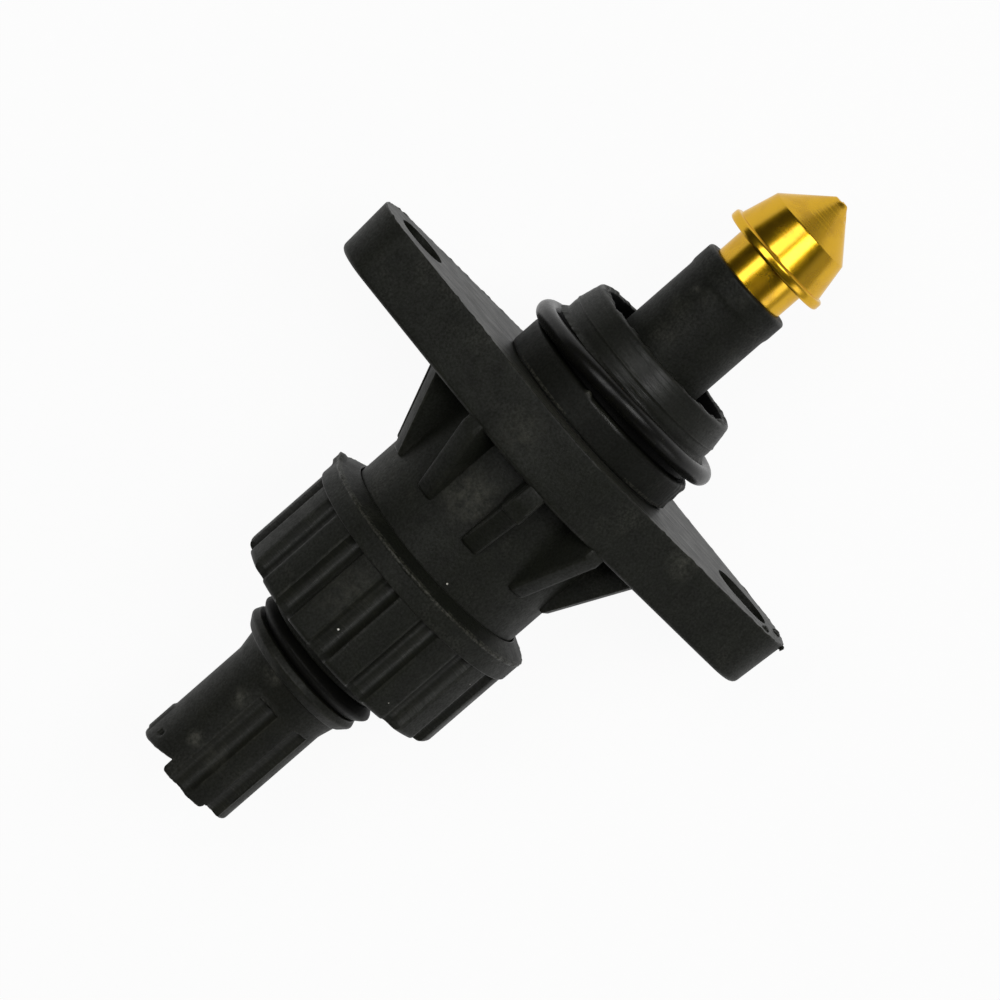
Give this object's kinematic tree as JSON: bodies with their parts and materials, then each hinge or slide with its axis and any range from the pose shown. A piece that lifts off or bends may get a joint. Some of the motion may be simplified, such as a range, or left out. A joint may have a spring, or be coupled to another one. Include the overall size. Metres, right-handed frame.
{
  "type": "idle air control valve",
  "caption": "Plastic-bodied idle air valve with a two-ear flange, sealed spigot, brass pintle on a lead screw, fluted retaining nut and round keyed connector.",
  "frame": {"origin": "centre of the spigot where it meets the flange's mounting face, on the valve axis", "axes": "+X along the valve axis towards the pintle tip, +Y towards the ear with the round bolt hole, +Z square to both"},
  "size_m": [0.0997, 0.0676, 0.034],
  "materials": {
    "body_plastic": "glass-filled moulding, satin, scuffed",
    "nut_plastic": "glass-filled moulding, satin",
    "tail_plastic": "glass-filled moulding, satin",
    "seal_rubber": "smooth, lightly oiled",
    "pintle_brass": "turned, bright",
    "bright_steel": "ground",
    "plated_steel": "zinc plated sheet",
    "bobbin_plastic": "natural",
    "ferrite": "bonded ferrite, matt",
    "bronze": "sintered, oil soaked",
    "copper_wire": "enamelled copper",
    "tinned_brass": "tin plated"
  },
  "bodies": {
    "housing": {"valve_body": "body_plastic", "retaining_nut": "nut_plastic", "connector_tail": "tail_plastic", "flange_o_ring": "seal_rubber", "connector_o_ring": "seal_rubber", "cover_gasket": "seal_rubber", "front_bush": "bronze", "bearing_balls": "bright_steel", "bearing_outer_ring": "bright_steel", "front_stator_cup": "plated_steel", "rear_stator_cup": "plated_steel", "front_claw_plate": "plated_steel", "rear_claw_plate": "plated_steel", "front_bobbin": "bobbin_plastic", "rear_bobbin": "bobbin_plastic", "front_coil": "copper_wire", "rear_coil": "copper_wire", "motor_end_plate": "plated_steel", "spring_washer": "bright_steel", "terminal_1": "tinned_brass", "terminal_2": "tinned_brass", "terminal_3": "tinned_brass", "terminal_4": "tinned_brass"},
    "pintle": {"pintle": "pintle_brass"},
    "rotor": {"lead_screw": "bright_steel", "rotor_hub": "bobbin_plastic", "rotor_magnet": "ferrite", "bearing_inner_ring": "bright_steel"}
  },
  "joints": [
    {"name": "rotor_spin", "type": "hinge", "parent": "housing", "child": "rotor", "pos_m": [-0.013, 0, 0], "axis": [1, 0, 0], "range_deg": [-1728, 1152]},
    {"name": "pintle_slide", "type": "slide", "parent": "housing", "child": "pintle", "axis": [1, 0, 0], "range_m": [-0.0032, 0.0048]}
  ],
  "couplings": [
    {"joint": "pintle_slide", "follows": "rotor_spin", "m_per_rad": -0.00015915}
  ]
}
